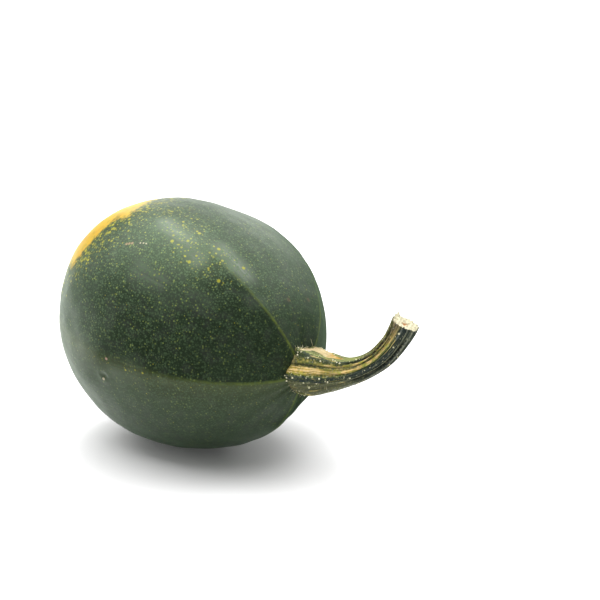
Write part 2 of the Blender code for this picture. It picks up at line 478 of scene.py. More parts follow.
def skin_height(across, near):
    """How far along the axis the skin lies at places beside the stem's end of it."""
    distance, turn = np.hypot(across, near), np.arctan2(near, across)
    low, high = np.full(distance.shape, 2.0), np.full(distance.shape, pi)
    for _ in range(30):
        polar = (low + high) / 2.0
        outside = skin_radius(polar, turn) > distance
        low, high = np.where(outside, polar, low), np.where(outside, high, polar)
    return -HALF_LENGTH * np.cos(low)


# Ribs of the stem's rind: turn at the foot, turn along the neck, height and width in degrees
STEM_RIBS = [(23.7, 38.0, 1.0, 15.0), (91.4, 94.0, 1.0, 15.0), (178.0, 150.0, 0.9, 17.0),
             (-123.6, -150.0, 0.9, 17.0), (-80.0, -96.0, 0.8, 15.0), (-46.0, -38.0, 1.0, 15.0)]

# Grooves of the rind: turn and width in degrees, depth in mm, and where they start and end
STEM_GROOVES = [(58.0, 4.0, 0.35, 0.05, 1.0), (108.0, 2.2, 0.28, 0.15, 1.0),
                (126.0, 4.4, 1.00, 0.54, 0.93), (126.0, 2.0, 0.25, 0.10, 0.60),
                (20.0, 2.5, 0.45, 0.45, 1.0), (67.0, 1.6, 0.25, 0.30, 1.0),
                (44.0, 3.2, 0.65, 0.50, 0.95), (84.0, 1.6, 0.25, 0.20, 0.95),
                (165.0, 3.0, 0.45, 0.30, 1.0), (-175.0, 3.5, 0.50, 0.10, 1.0),
                (-140.0, 2.5, 0.30, 0.20, 0.90), (-122.0, 3.5, 0.55, 0.15, 1.0),
                (-75.0, 3.5, 0.50, 0.20, 1.0), (-60.0, 2.0, 0.30, 0.30, 0.80),
                (-10.0, 2.5, 0.35, 0.50, 1.0)]

# The cut end: the side turned from the camera, and its longest splinter
FAR_SIDE = radians(-85.0)
SPIKE_TURN = radians(-40.0)


def rib_turn(share, foot, neck):
    """Where a rib runs, in degrees: it swings from its turn at the foot to its turn along the neck."""
    swing = (neck - foot + 180.0) % 360.0 - 180.0
    return foot + swing * smooth_step(share, 0.02, 0.22)


def stem_ribs(share, turn):
    """Sum of the ribs' crests, which carry on the fruit's ridges at the foot."""
    crests = np.zeros(np.broadcast(share, turn).shape)
    for foot, neck, height, width in STEM_RIBS:
        apart = turn_between(turn, np.radians(rib_turn(share, foot, neck))) / radians(width)
        crests += height * np.exp(-np.abs(apart) ** 1.6)
    return crests


def scar_patch(share, turn):
    """The peeled patch on top of the foot, pale where the rind is gone."""
    middle = 4.0 - 30.0 * smooth_step(share, 0.05, 0.2) + 32.0 * smooth_step(share, 0.2, 0.45)
    half = 30.0 * smooth_step(share, 0.035, 0.11) * (1.0 - smooth_step(share, 0.24, 0.54))
    ragged = 3.5 * fibres(turn, share, seed=21, low=3, high=12, wander=4.0)
    apart = np.degrees(turn_between(turn, np.radians(middle)))
    return smooth_step(half + ragged - apart, -2.0, 3.0) * smooth_step(half, 2.0, 8.0)


def groove_offset(share, turn, place, width):
    """How far each point is from a groove's slightly wavy line, in widths of the groove."""
    wander = radians(2.0) * np.sin(9.0 * share + place)
    return turn_between(turn, radians(place) + wander) / radians(width)


def stem_relief(share, turn):
    """Height of the rind's fibres, grooves and peeled patch."""
    height = 0.00011 * fibres(turn, share, seed=11, low=10, high=34)
    height += 0.00005 * fibres(turn, share, seed=12, low=34, high=80)
    for place, width, depth, start, end in STEM_GROOVES:
        apart = groove_offset(share, turn, place, width)
        height -= depth * 0.001 * stretch(share, start, end) * np.exp(-apart ** 2)
    height -= 0.00035 * scar_patch(share, turn)
    return height


def stem_surface(ring, turn):
    """Points of the stem and their share along it, from the underside to the cut end."""
    station = np.clip(ring - STEM_UNDERSIDE_RINGS, 0, STEM_SIDE_RINGS)
    share = station / STEM_SIDE_RINGS
    centre, across, near, direction = (STEM_FRAMES[station.astype(int), row] for row in range(4))
    ribs = stem_ribs(share, turn)
    depth = FOOT_RIB_DEPTH + (NECK_RIB_DEPTH - FOOT_RIB_DEPTH) * smooth_step(share, 0.0, 0.45)
    radius = stem_radius(share) * (1.0 + depth * (ribs - STEM_RIB_MEAN))
    radius += stem_relief(share, turn) * smooth_step(share, 0.0, 0.04)
    fringe = 0.00022 * fibres(turn, share, seed=15, low=7, high=40)
    radius += fringe * (1.0 - smooth_step(share, 0.0, 0.05))
    radius *= 1.0 - FOOT_DIP * between_ridges(turn) * (1.0 - smooth_step(share, 0.0, 0.22))
    radius *= 1.0 + 0.07 * smooth_step(share, 0.88, 1.0)
    under = np.clip(ring / STEM_UNDERSIDE_RINGS, 0.0, 1.0)
    inward = np.clip(1.0 - (ring - STEM_UNDERSIDE_RINGS - STEM_SIDE_RINGS) / (STEM_CUT_RINGS + 1), 0.0, 1.0)
    radius = radius * under * inward
    arm = across * np.cos(turn)[:, None] + near * np.sin(turn)[:, None]
    own = centre + arm * radius[:, None]
    foot = smooth_step(share, 0.0, FOOT_BLEND)
    near_skin = share < FOOT_BLEND
    lift = skin_height(own[near_skin, 0], own[near_skin, 1]) + VISUAL_GAP - HALF_LENGTH
    own[near_skin, 2] += lift * (1.0 - foot[near_skin])
    cut = smooth_step(ring - STEM_UNDERSIDE_RINGS - STEM_SIDE_RINGS, -2.0, 1.0)
    own += direction * (cut * cut_end_height(own, inward, turn))[:, None]
    return own, share, inward


def cut_end_height(own, inward, turn):
    """Height of the torn end: a ragged rim, lumpy pith and a hollow."""
    rim = 0.00032 * fibres(turn, inward, seed=31, low=5, high=40) * smooth_step(inward, 0.55, 1.0)
    pith = 0.00018 * ripple(own, 0.0012, seed=32) * smooth_step(inward, 0.0, 0.2)
    hollow = -0.0010 * np.exp(-(inward / 0.26) ** 4)
    slant = 0.0010 * inward * np.cos(turn - FAR_SIDE)
    spike = 0.0011 * np.exp(-(turn_between(turn, SPIKE_TURN) / 0.16) ** 2) * near_place(inward, 0.9, 0.16)
    return rim + pith + hollow + slant + spike


# Colours of the stem, linear
OLIVE = (0.125, 0.130, 0.026)
MOSS = (0.085, 0.115, 0.018)
LIP_GREEN = (0.165, 0.185, 0.045)
DARK_RIND = (0.011, 0.024, 0.008)
BLUE_RIND = (0.017, 0.030, 0.028)
GREY_RIND = (0.080, 0.086, 0.046)
CREAM = (0.68, 0.50, 0.23)
YELLOW = (0.45, 0.29, 0.045)
PEELED = (0.42, 0.34, 0.18)
PEELED_EDGE = (0.62, 0.54, 0.33)
SCAR_TAN = (0.34, 0.23, 0.13)
SCAR_YELLOW = (0.36, 0.21, 0.030)
# Painted highlight along the stem's lower rim
RIM_HIGHLIGHT = (0.27, 0.28, 0.21)
PALE_FIBRE = (0.26, 0.27, 0.15)
TAN = (0.30, 0.21, 0.11)
BROWN = (0.10, 0.045, 0.022)
DARK_BROWN = (0.035, 0.022, 0.012)
FOOT_TAN = (0.27, 0.22, 0.10)
GOLD_GREEN = (0.125, 0.130, 0.028)
FLECK_GOLD = (0.31, 0.25, 0.060)
LIME = (0.30, 0.29, 0.045)
TIP_TAN = (0.20, 0.150, 0.085)
SILVER = (0.15, 0.17, 0.15)
PITH = (0.56, 0.52, 0.36)
PITH_CORE = (0.42, 0.17, 0.04)
GROOVE_SHADE = (0.006, 0.007, 0.005)

# Lengthwise bands: turn at the foot and at the tip and half width there, in degrees, colour, start and end
RIND_BANDS = [(8, 16, 24, 16, LIP_GREEN, 0.44, 0.64), (26, 28, 4, 4, LIP_GREEN, 0.0, 0.66),
              (-28, -22, 5, 5, LIP_GREEN, 0.08, 0.60), (37, 39, 9, 7, DARK_RIND, 0.0, 0.70),
              (44, 42, 3, 4, DARK_BROWN, 0.58, 1.0), (22, 24, 3, 9, BROWN, 0.66, 1.0),
              (56, 58, 12, 8, GOLD_GREEN, 0.03, 0.60),
              (62, 62, 22, 22, FOOT_TAN, 0.0, 0.07), (87, 80, 3, 2, MOSS, 0.0, 0.9),
              (96, 102, 8, 17, BLUE_RIND, 0.0, 1.0), (130, 142, 26, 24, GREY_RIND, 0.0, 1.0),
              (-178, -170, 9, 12, DARK_RIND, 0.0, 1.0),
              (-135, -150, 12, 12, GREY_RIND, 0.0, 1.0), (-96, -96, 10, 12, BLUE_RIND, 0.0, 1.0),
              (-44, -36, 9, 8, DARK_RIND, 0.0, 1.0), (64, 66, 16, 16, TIP_TAN, 0.90, 1.0)]

# Pale streaks, in the same way
RIND_STREAKS = [(75, 67, 11, 9, 0.03, 0.94), (52, 52, 3, 3, 0.30, 0.50), (49, 51, 4, 4, 0.50, 0.88),
                (-120, -126, 6, 4, 0.10, 0.9), (-68, -66, 6, 4, 0.20, 0.9), (160, 168, 3, 3, 0.35, 0.8)]


def paint(colours, mask, colour):
    """Lays a colour over the points where the mask is above 0."""
    colours += (np.array(colour) - colours) * np.clip(mask, 0.0, 1.0)[:, None]


def band(share, turn, ends, halves, soft=3.0):
    """1 inside a lengthwise band, in degrees of turn, with soft edges."""
    along = smooth_step(share, 0.0, 1.0)
    centre = radians(ends[0]) + radians(ends[1] - ends[0]) * along
    half = halves[0] + (halves[1] - halves[0]) * along
    return smooth_step(half - np.degrees(turn_between(turn, centre)), -soft, soft)


def stretch(share, start, end, soft=0.05):
    """1 between two places along the stem, with soft ends, but not at the ends of the stem itself."""
    rise = smooth_step(share, start - soft, start + soft) if start > 0.0 else 1.0
    fall = smooth_step(share, end - soft, end + soft) if end < 1.0 else 0.0
    return rise * (1.0 - fall)


def rind_grain(own, share, turn):
    """Seeded unevenness of the rind's colours."""
    fine = fibres(turn, share, seed=41, low=30, high=90, wander=3.0)
    broad = fibres(turn, share, seed=42, low=9, high=26, wander=3.0)
    return fine, broad, ripple(own, 0.0016, seed=43), ripple(own, 0.0045, seed=44)


def paint_bands(colours, share, drifted, grain):
    fine, _, mottle, patchy = grain
    paint(colours, 0.45 + 0.4 * patchy, MOSS)
    paint(colours, 0.22 + 0.40 * fine + 0.35 * mottle, DARK_RIND)
    worn = 0.82 + 0.2 * fine + 0.2 * mottle
    for foot, tip, half, tip_half, colour, start, end in RIND_BANDS:
        edge = band(share, drifted, (foot, tip), (half, tip_half))
        paint(colours, edge * stretch(share, start, end) * worn, colour)


def paint_sides(colours, share, turn, grain):
    fine, broad, mottle, patchy = grain
    upper_side = band(share, turn, (58, 56), (16, 12), soft=5.0)
    paint(colours, 0.8 * upper_side * smooth_step(0.5 * fine - mottle, 0.1, 1.1), DARK_RIND)
    flecks = upper_side * stretch(share, 0.06, 0.64) * smooth_step(mottle + 0.4 * fine, 0.4, 1.1)
    paint(colours, 0.75 * flecks, FLECK_GOLD)
    neck = band(share, turn, (118, 128), (34, 44), soft=6.0) * smooth_step(share, 0.40, 0.66)
    paint(colours, 0.85 * neck * (0.9 + 0.2 * broad), BLUE_RIND)
    paint(colours, 0.65 * neck * smooth_step(broad + 0.6 * fine, 0.9, 1.7), SILVER)
    pale = smooth_step(fine + 0.5 * mottle + 0.3 * patchy, 0.8, 2.0)
    paint(colours, 0.5 * pale * (0.6 + 0.4 * smooth_step(share, 0.5, 0.8)), PALE_FIBRE)


def paint_streaks(colours, share, drifted, grain):
    """The pale streaks: yellow and cream, worn to lime and moss."""
    fine, broad, mottle, patchy = grain
    for foot, tip, half, tip_half, start, end in RIND_STREAKS:
        edge = band(share, drifted, (foot, tip), (half, tip_half), soft=5.0)
        streak = smooth_step(edge + 0.25 * broad + 0.20 * fine + 0.12 * patchy, 0.45, 0.90)
        streak *= stretch(share, start, end)
        paint(colours, streak * (0.85 + 0.2 * mottle), YELLOW)
        paint(colours, streak * smooth_step(fine + 0.5 * mottle - 0.5 * patchy, -0.2, 1.2), CREAM)
        lime = smooth_step(0.9 * patchy - 0.5 * mottle + 0.3 * broad, -0.1, 0.9)
        paint(colours, 0.9 * streak * lime, LIME)
        moss = smooth_step(0.8 * mottle + 0.7 * patchy - 0.5 * fine, 0.2, 1.1)
        paint(colours, 0.8 * streak * moss, MOSS)


def paint_lines(colours, share, turn, drifted, mottle):
    line = band(share, drifted, (105, 116), (1.3, 1.6), soft=1.5) * smooth_step(share, 0.1, 0.2)
    paint(colours, 0.6 * line * (0.7 + 0.4 * mottle), PALE_FIBRE)
    # A painted highlight along the stem's lower rim
    painted_rim_highlight = band(share, drifted, (150, 139), (2.5, 3.5), soft=2.5) * smooth_step(share, 0.2, 0.35)
    paint(colours, 0.7 * painted_rim_highlight * (0.75 + 0.4 * mottle), RIM_HIGHLIGHT)
    for place, width, depth, start, end in STEM_GROOVES:
        apart = groove_offset(share, turn, place, width)
        shade = stretch(share, start, end) * np.exp(-(1.3 * apart) ** 2)
        paint(colours, min(1.6 * depth, 1.0) * shade, GROOVE_SHADE)


def paint_patch(colours, share, turn, drifted, grain):
    """The peeled patch: tan, then pale, then yellow."""
    fine, _, mottle, patchy = grain
    patch = scar_patch(share, turn)
    paint(colours, patch, PEELED)
    paint(colours, 0.8 * patch * (1.0 - smooth_step(share + 0.02 * patchy, 0.10, 0.19)), SCAR_TAN)
    paint(colours, patch * band(share, drifted, (17, 17), (5, 5), soft=4.0), PEELED_EDGE)
    paint(colours, patch * smooth_step(share + 0.03 * patchy, 0.27, 0.40), SCAR_YELLOW)
    paint(colours, 0.35 * patch * smooth_step(fine + mottle, 0.3, 1.6), SCAR_YELLOW)


def paint_ends(colours, share, inward, fine, mottle):
    paint(colours, 0.9 * (1.0 - smooth_step(share + 0.010 * fine, 0.006, 0.040)), TAN)
    paint(colours, 0.8 * (1.0 - smooth_step(share + 0.016 * mottle, 0.0, 0.022)), BROWN)
    paint(colours, 1.0 - smooth_step(inward + 0.02 * mottle, 0.93, 0.985), PITH)
    paint(colours, 1.0 - smooth_step(inward, 0.14, 0.30), PITH_CORE)


def stem_colours(own, share, turn, inward):
    grain = rind_grain(own, share, turn)
    fine, _, mottle, _ = grain
    drifted = turn + radians(2.5) * np.sin(7.0 * share + 1.0) + radians(1.8) * mottle
    colours = np.tile(np.array(OLIVE), (len(turn), 1))
    paint_bands(colours, share, drifted, grain)
    paint_sides(colours, share, turn, grain)
    paint_streaks(colours, share, drifted, grain)
    paint_lines(colours, share, turn, drifted, mottle)
    paint_patch(colours, share, turn, drifted, grain)
    paint_ends(colours, share, inward, fine, mottle)
    return colours


def make_stem(material):
    """The stem's mesh, from its hidden underside to the cut end, with its colours."""
    rings = STEM_UNDERSIDE_RINGS + STEM_SIDE_RINGS + STEM_CUT_RINGS + 1
    mesh, ring, turn = sphere_mesh("zucchini_stem", STEM_SEGMENTS, rings)
    own, share, inward = stem_surface(ring, turn)
    keep_colour(mesh, "rind_colour", stem_colours(own, share, turn, inward))
    keep_vector(mesh, "meridian", np.stack([np.cos(turn), np.sin(turn), share], axis=1))
    place_points(mesh, to_row(own))
    show_mesh(mesh, material, "stem")


# Tubercles on the ribs: share along the stem and turn in degrees, as the photograph shows them
TUBERCLES = [(0.062, 22.0), (0.083, 36.0), (0.117, 30.0), (0.200, 40.5), (0.304, 42.0), (0.421, 32.5),
             (0.358, -23.0), (0.117, 91.5), (0.067, 93.0), (0.042, 102.5), (0.308, 91.5), (0.188, 102.0),
             (0.217, 116.5), (0.279, 105.0), (0.367, 102.0), (0.100, 166.5), (0.100, 142.5), (0.350, 169.0),
             (0.525, 104.5), (0.604, 31.0), (0.900, 22.5), (0.958, 88.0), (0.879, 98.0), (0.783, 143.5),
             (0.462, 41.5)]
MORE_TUBERCLES = 90
RIM_HAIRS, NECK_HAIRS = 80, 24
HAIR_RADIUS, HAIR_TIP, HAIR_ROOT = 0.00007, 0.00003, 0.0001
LONG_HAIR = (0.015, -38.0)
LONG_HAIR_RADIUS, LONG_HAIR_TIP, LONG_HAIR_LENGTH = 0.00014, 0.00004, 0.0034


def stem_spots(shares, turns):
    """Points of the stem's side and the ways out of it there, in the part's frame."""
    ring = STEM_UNDERSIDE_RINGS + np.round(shares * STEM_SIDE_RINGS)
    here, ahead, beside = (to_row(stem_surface(ring + step, turns + swing)[0])
                           for step, swing in ((0, 0.0), (1, 0.0), (0, 0.01)))
    outward = np.cross(beside - here, ahead - here)
    outward /= np.linalg.norm(outward, axis=1, keepdims=True)
    away = here - to_row(stem_centre(shares))
    outward *= np.sign(np.sum(outward * away, axis=1, keepdims=True))
    return [(Vector(base), Vector(way)) for base, way in zip(here, outward)]


def add_cone(shape, base, direction, radius, tip, length):
    turn = direction.to_track_quat("Z", "Y").to_matrix().to_4x4()
    place = Matrix.Translation(base + direction * (length / 2.0 - HAIR_ROOT)) @ turn
    bmesh.ops.create_cone(shape, cap_ends=True, segments=7, radius1=radius, radius2=tip,
                          depth=length, matrix=place)


def add_dome(shape, base, direction, radius, height):
    """A small pointed dome: half sunk sphere drawn out along its direction."""
    turn = direction.to_track_quat("Z", "Y").to_matrix().to_4x4()
    scale = Matrix.Diagonal((radius, radius, height, 1.0))
    place = Matrix.Translation(base) @ turn @ scale
    bmesh.ops.create_icosphere(shape, subdivisions=2, radius=1.0, matrix=place)


def tubercle_places(draw):
    """Shares and turns of all tubercles: the listed ones, then seeded ones near the ribs."""
    shares = [share for share, _ in TUBERCLES]
    turns = [radians(turn) for _, turn in TUBERCLES]
    for _ in range(MORE_TUBERCLES):
        foot, neck, _, _ = STEM_RIBS[draw.integers(len(STEM_RIBS))]
        shares.append(0.03 + 0.92 * draw.uniform() ** 1.8)
        turns.append(radians(rib_turn(shares[-1], foot, neck) + draw.normal() * 10.0))
    return np.array(shares), np.array(turns)


def add_hairs(shape, draw):
    """Fine hairs round the foot and along the neck, and one long hair."""
    shares = np.concatenate([draw.uniform(0.0, 0.03, RIM_HAIRS), draw.uniform(0.05, 0.9, NECK_HAIRS)])
    turns = draw.uniform(-pi, pi, RIM_HAIRS + NECK_HAIRS)
    for base, outward in stem_spots(shares, turns):
        lean = Vector(draw.normal(size=3)) * 0.45
        length = draw.uniform(0.0007, 0.0017)
        add_cone(shape, base, (outward + lean).normalized(), HAIR_RADIUS, HAIR_TIP, length)
    for base, outward in stem_spots(np.array([LONG_HAIR[0]]), np.radians([LONG_HAIR[1]])):
        add_cone(shape, base, outward, LONG_HAIR_RADIUS, LONG_HAIR_TIP, LONG_HAIR_LENGTH)


def make_tubercles(material):
    draw = np.random.default_rng(5)
    shape = bmesh.new()
    for index, (base, outward) in enumerate(stem_spots(*tubercle_places(draw))):
        small, large = (0.00030, 0.00045) if index < len(TUBERCLES) else (0.00014, 0.00030)
        radius = draw.uniform(small, large)
        add_dome(shape, base, outward, radius, radius * draw.uniform(0.9, 1.5))
    add_hairs(shape, draw)
    mesh = bpy.data.meshes.new("stem_tubercles")
    shape.to_mesh(mesh)
    shape.free()
    show_mesh(mesh, material)


# Materials

def new_material(name):
    material = bpy.data.materials.new(name)
    material.use_nodes = True
    tree = material.node_tree
    return material, tree, tree.nodes["Principled BSDF"]


def feed(tree, socket, value):
    """Links another node's output to a socket, or sets a constant there."""
    if isinstance(value, bpy.types.NodeSocket):
        tree.links.new(value, socket)
    else:
        socket.default_value = value


def add_node(tree, kind, settings=None, **inputs):
    """A node with its settings, and its inputs set or linked by name."""
    made = tree.nodes.new("ShaderNode" + kind)
    for name, value in (settings or {}).items():
        setattr(made, name, value)
    for name, value in inputs.items():
        feed(tree, made.inputs[name.replace("_", " ")], value)
    return made


def calculate(tree, operation, first, second=0.0):
    made = add_node(tree, "Math", {"operation": operation})
    feed(tree, made.inputs[0], first)
    feed(tree, made.inputs[1], second)
    return made.outputs[0]


def soft_range(tree, value, low, high, to_low=0.0, to_high=1.0):
    """Maps low..high to to_low..to_high with eased ends, clamped."""
    made = add_node(tree, "MapRange", {"interpolation_type": "SMOOTHSTEP"}, Value=value, From_Min=low,
                    From_Max=high, To_Min=to_low, To_Max=to_high)
    return made.outputs["Result"]


def lay_over(tree, under, mask, colour):
    made = add_node(tree, "Mix", {"data_type": "RGBA"})
    for index, value in ((0, mask), (6, under), (7, colour)):
        feed(tree, made.inputs[index], (*value, 1.0) if isinstance(value, tuple) else value)
    return made.outputs[2]


def set_inputs(shader, **values):
    """Sets constant values on a shader's own sockets."""
    for name, value in values.items():
        shader.inputs[name.replace("_", " ")].default_value = value


def finish_surface(tree, shader, colour, height, strength):
    """Gives a shader its colour and its fine bump."""
    tree.links.new(colour, shader.inputs["Base Color"])
    bump = add_node(tree, "Bump", None, Height=height, Strength=strength, Distance=0.0003)
    tree.links.new(bump.outputs["Normal"], shader.inputs["Normal"])


def product(tree, first, second):
    return calculate(tree, "MULTIPLY", first, second)


def vector_step(tree, operation, vector, constant):
    """One step of arithmetic on a vector and a constant vector."""
    made = add_node(tree, "VectorMath", {"operation": operation})
    tree.links.new(vector, made.inputs[0])
    made.inputs[1].default_value = constant
    return made.outputs


def tint(tree, under, source, low, high, most, colour):
    """A colour laid over another where a value is past a range, up to a greatest share."""
    return lay_over(tree, under, soft_range(tree, source, low, high, 0.0, most), colour)


def stored(tree, name, output="Fac"):
    return add_node(tree, "Attribute", {"attribute_name": name}).outputs[output]


def noise(tree, vector, scale, detail=3.0, roughness=0.5):
    made = add_node(tree, "TexNoise", None, Vector=vector, Scale=scale, Detail=detail, Roughness=roughness)
    return made.outputs["Fac"]


def distance_to(tree, vector, place):
    return vector_step(tree, "DISTANCE", vector, tuple(mark_place(place)))["Value"]


# Colours of the skin, linear
DEEP_GREEN = (0.0050, 0.0108, 0.0050)
MID_GREEN = (0.0100, 0.0184, 0.0098)
HAZE_GREEN = (0.026, 0.046, 0.024)
GREY_SKIN = (0.017, 0.018, 0.018)
OLIVE_SKIN = (0.033, 0.037, 0.006)
RIDGE_YELLOW = (0.085, 0.110, 0.016)
FAINT_SPECK = (0.050, 0.082, 0.040)
SPECK_GREEN = (0.150, 0.190, 0.046)
SPECK_YELLOW = (0.330, 0.300, 0.016)
GROUND_YELLOW = (0.500, 0.290, 0.008)
GROUND_PALE = (0.560, 0.370, 0.040)
GROUND_ORANGE = (0.460, 0.215, 0.006)
GROUND_GREEN = (0.200, 0.190, 0.020)
CORK = (0.260, 0.190, 0.105)
CORK_PALE = (0.400, 0.330, 0.210)
CORK_DARK = (0.050, 0.035, 0.020)
BLACK_MARK = (0.010, 0.012, 0.008)
PALE_MARK = (0.500, 0.430, 0.300)
RED_MARK = (0.075, 0.045, 0.030)
SCAR_MARK = (0.300, 0.190, 0.110)
# Pale wax, which also serves as a painted highlight where the smears lie
WAX_AND_HIGHLIGHT = (0.160, 0.175, 0.155)
PINK_MARK = (0.400, 0.230, 0.190)

# Colours of the stem's material, linear
RIND_SPECK = (0.42, 0.42, 0.22)
TUBERCLE_PALE = (0.72, 0.68, 0.46)
TUBERCLE_OLIVE = (0.46, 0.44, 0.24)

# Small marks: their places, radius in metres and colour; the pale one by the dent is partly a scar, partly
# a painted highlight
SKIN_MARKS = [(BIG_SPECKS, 0.0007, SPECK_YELLOW), (BLACK_DOTS, 0.00045, BLACK_MARK),
              (PALE_SCARS, 0.00035, PALE_MARK), (BROWN_SCARS, 0.0006, SCAR_MARK),
              (RED_MARKS, 0.0009, RED_MARK), ([PINK_SCAR], 0.0006, PINK_MARK),
              ([DENT_SCAR_AND_HIGHLIGHT], 0.0006, PALE_MARK)]

# Specks: cells in a metre, least and greatest size in cells, and how unevenly the cells lie
FAINT_SPECKS = (1250.0, 0.25, 0.60)
SMALL_SPECKS = (1020.0, -0.22, 0.42)
LARGE_SPECKS = (640.0, -0.42, 0.16)
SPECK_RANDOMNESS = 0.80


def speck_mask(tree, vector, specks, more=0.0):
    """Round specks, one in each cell that the skin cuts near its middle, of uneven size."""
    scale, small, large = specks
    cells = add_node(tree, "TexVoronoi", None, Vector=vector, Scale=scale, Randomness=SPECK_RANDOMNESS)
    chance = add_node(tree, "SeparateColor", None, Color=cells.outputs["Color"]).outputs
    size = calculate(tree, "ADD", product(tree, chance["Red"], large - small), small)
    inside = calculate(tree, "SUBTRACT", calculate(tree, "ADD", size, more), cells.outputs["Distance"])
    strength = calculate(tree, "ADD", product(tree, chance["Green"], 0.7), 0.3)
    return product(tree, soft_range(tree, inside, -0.08, 0.14), strength)


def skin_grain(tree, place):
    """Unevenness that the skin's layers share: streaks from end to end and noise of three sizes."""
    along = vector_step(tree, "MULTIPLY", stored(tree, "meridian", "Vector"), (40.0, 40.0, 3.0))
    return SimpleNamespace(streaks=noise(tree, along[0], 1.0, detail=4.0),
                           broad=noise(tree, place, 38.0),
                           patches=noise(tree, place, 170.0, detail=2.0),
                           fine=noise(tree, place, 420.0))


def green_layers(tree, grain):
    colour = tint(tree, DEEP_GREEN, grain.broad, 0.30, 0.72, 1.0, MID_GREEN)
    colour = tint(tree, colour, grain.patches, 0.46, 0.66, 0.7, GREY_SKIN)
    colour = tint(tree, colour, grain.streaks, 0.45, 0.80, 0.45, HAZE_GREEN)
    colour = lay_over(tree, colour, product(tree, stored(tree, "olive_band"), 0.95), OLIVE_SKIN)
    line = soft_range(tree, stored(tree, "ridge_reach"), 0.00085, 0.00010)
    line = product(tree, line, stored(tree, "stemward"))
    line = product(tree, line, soft_range(tree, grain.fine, 0.34, 0.58, 0.45, 1.0))
    colour = lay_over(tree, colour, line, RIDGE_YELLOW)
    # Pale smears laid in the base colour: partly real wax, partly a painted highlight
    wax_and_highlight = product(tree, stored(tree, "wax_and_highlight"), soft_range(tree, grain.streaks, 0.30, 0.75, 0.42, 0.72))
    return lay_over(tree, colour, wax_and_highlight, WAX_AND_HIGHLIGHT)


def speck_layers(tree, colour, place):
    yellowing = stored(tree, "yellowing")
    speckled = stored(tree, "speckled")
    shifted = vector_step(tree, "ADD", place, (0.31, 0.17, 0.23))[0]
    colour = lay_over(tree, colour, product(tree, yellowing, 0.30), OLIVE_SKIN)
    faint = product(tree, speck_mask(tree, place, FAINT_SPECKS), speckled)
    colour = lay_over(tree, colour, faint, FAINT_SPECK)
    small = product(tree, speck_mask(tree, shifted, SMALL_SPECKS), speckled)
    colour = lay_over(tree, colour, small, lay_over(tree, SPECK_GREEN, yellowing, SPECK_YELLOW))
    large = speck_mask(tree, place, LARGE_SPECKS, stored(tree, "speck_growth"))
    return lay_over(tree, colour, large, SPECK_YELLOW), small, large


def ground_layer(tree, colour, grain, large):
    ragged = product(tree, calculate(tree, "SUBTRACT", grain.fine, 0.5), 0.007)
    edge = calculate(tree, "ADD", stored(tree, "ground_reach"), ragged)
    edge = calculate(tree, "SUBTRACT", edge, product(tree, large, 0.0012))
    spot = tint(tree, GROUND_YELLOW, grain.broad, 0.40, 0.62, 0.8, GROUND_PALE)
    spot = tint(tree, spot, grain.patches, 0.48, 0.66, 0.5, GROUND_ORANGE)
    near_edge = soft_range(tree, edge, -0.0065, -0.0010)
    flecks = product(tree, near_edge, soft_range(tree, grain.fine, 0.50, 0.62, 0.0, 0.45))
    spot = lay_over(tree, spot, flecks, GROUND_GREEN)
    return tint(tree, colour, edge, 0.0026, -0.0016, 1.0, spot)


def mark_layers(tree, colour, place):
    for places, radius, mark in SKIN_MARKS:
        for spot in places:
            apart = distance_to(tree, place, spot)
            colour = tint(tree, colour, apart, radius * 1.35, radius * 0.6, 0.8, mark)
    return colour


def blossom_layer(tree, colour, grain):
    blossom = stored(tree, "blossom_reach")
    colour = tint(tree, colour, blossom, 0.0110, BLOSSOM_RIM, 0.55, GROUND_GREEN)
    cork = tint(tree, CORK, grain.fine, 0.42, 0.62, 1.0, CORK_PALE)
    cork = tint(tree, cork, grain.streaks, 0.52, 0.60, 0.75, CORK_DARK)
    from_ring = calculate(tree, "ABSOLUTE", calculate(tree, "SUBTRACT", blossom, 0.0026))
    cork = tint(tree, cork, from_ring, 0.0009, 0.0003, 0.8, CORK_DARK)
    return tint(tree, colour, blossom, 0.0064, 0.0052, 1.0, cork)


def skin_material():
    material, tree, shader = new_material("zucchini_skin")
    place = add_node(tree, "TexCoord").outputs["Object"]
    grain = skin_grain(tree, place)
    colour, small, large = speck_layers(tree, green_layers(tree, grain), place)
    colour = ground_layer(tree, colour, grain, large)
    colour = mark_layers(tree, colour, place)
    colour = blossom_layer(tree, colour, grain)
    rough = calculate(tree, "ADD", product(tree, grain.fine, 0.16), 0.29)
    rough = calculate(tree, "ADD", rough, product(tree, grain.streaks, 0.10))
    tree.links.new(rough, shader.inputs["Roughness"])
    set_inputs(shader, Specular_IOR_Level=0.5, Specular_Tint=(0.74, 1.0, 0.62, 1.0), Sheen_Weight=0.07,
               Sheen_Roughness=0.5, Sheen_Tint=(0.45, 1.0, 0.42, 1.0))
    height = calculate(tree, "ADD", product(tree, grain.fine, 0.4), product(tree, small, 0.25))
    height = calculate(tree, "ADD", height, product(tree, grain.streaks, 0.6))
    finish_surface(tree, shader, colour, height, 0.16)
    return material


def rind_material():
    material, tree, shader = new_material("stem_rind")
    place = add_node(tree, "TexCoord").outputs["Object"]
    along = vector_step(tree, "MULTIPLY", stored(tree, "meridian", "Vector"), (16.0, 16.0, 14.0))
    strands = noise(tree, along[0], 1.0, detail=5.0, roughness=0.6)
    fine = noise(tree, place, 1500.0)
    light = calculate(tree, "ADD", product(tree, strands, 1.6), 0.20)
    shaded = add_node(tree, "VectorMath", {"operation": "SCALE"})
    tree.links.new(stored(tree, "rind_colour", "Color"), shaded.inputs[0])
    tree.links.new(light, shaded.inputs["Scale"])
    speck = product(tree, soft_range(tree, fine, 0.60, 0.72), 0.5)
    colour = lay_over(tree, shaded.outputs[0], speck, RIND_SPECK)
    set_inputs(shader, Roughness=0.62, Specular_IOR_Level=0.24)
    height = calculate(tree, "ADD", strands, product(tree, fine, 0.4))
    finish_surface(tree, shader, colour, height, 0.35)
    return material


